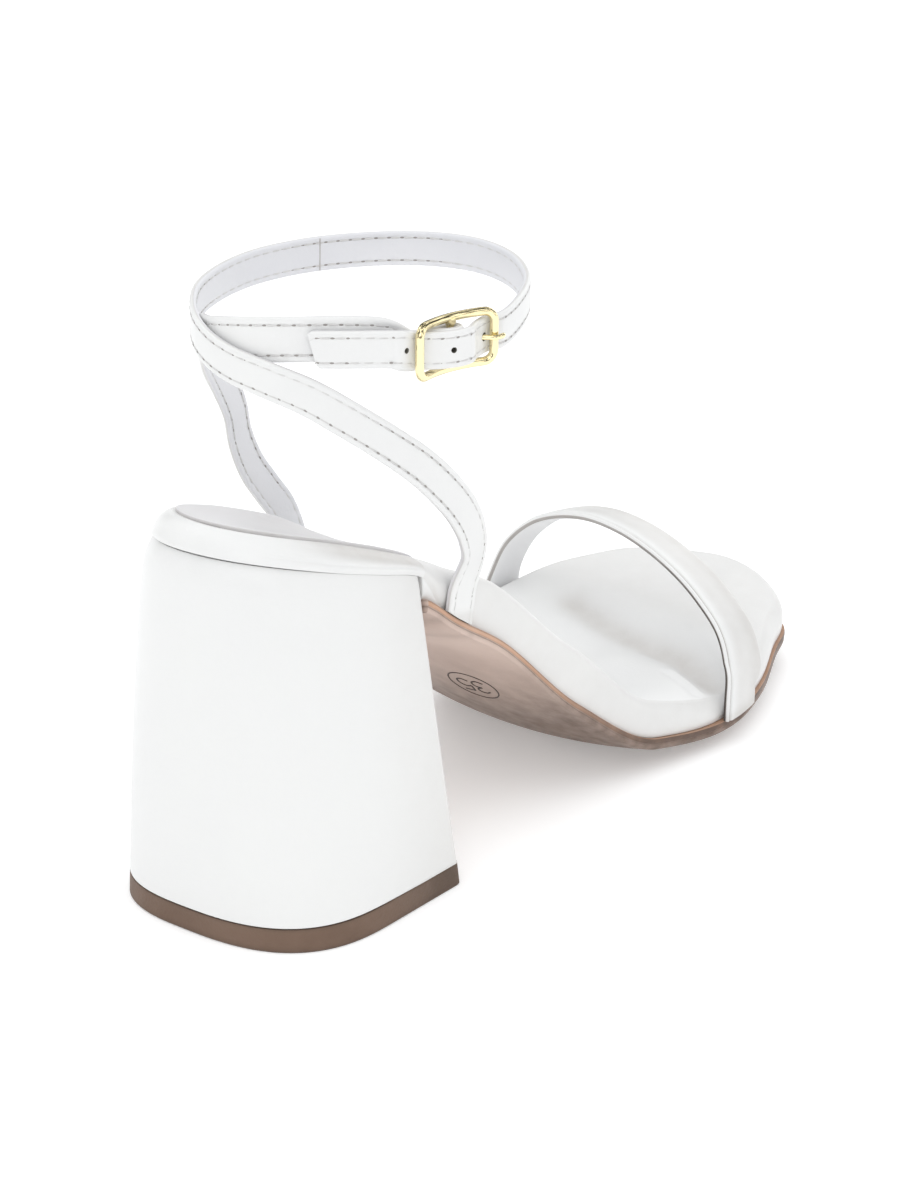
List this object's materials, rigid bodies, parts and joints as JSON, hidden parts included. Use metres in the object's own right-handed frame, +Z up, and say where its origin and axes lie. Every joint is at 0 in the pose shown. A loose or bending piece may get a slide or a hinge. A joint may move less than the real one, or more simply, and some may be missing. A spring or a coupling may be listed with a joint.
{
  "type": "open-toe block-heel ankle-strap sandal",
  "caption": "White open-toe sandal for the right foot with a high block heel, crossed ankle straps, a pale gold buckle and a padded footbed.",
  "frame": {"origin": "middle of the underside of the sandal's box, on the floor that the heel and the ball stand on", "axes": "+X from heel to toe, +Y to the inner side of the foot, +Z up"},
  "size_m": [0.211, 0.0812, 0.1281],
  "materials": {
    "heel_top_piece": "matte",
    "heel_block": "smooth satin",
    "outsole": "matte, fine leather grain",
    "footbed": "smooth satin, padded",
    "insole_sock": "smooth satin",
    "toe_strap": "smooth satin",
    "ankle_straps": "smooth satin, stitched near its edges",
    "buckle_frame": "polished pale gold plating",
    "buckle_prong": "polished pale gold plating"
  },
  "bodies": {
    "root": {"heel_top_piece": "heel_top_piece", "heel_block": "heel_block", "outsole": "outsole", "footbed": "footbed", "insole_sock": "insole_sock", "toe_strap": "toe_strap", "ankle_straps": "ankle_straps", "buckle_frame": "buckle_frame", "buckle_prong": "buckle_prong"}
  },
  "joints": []
}
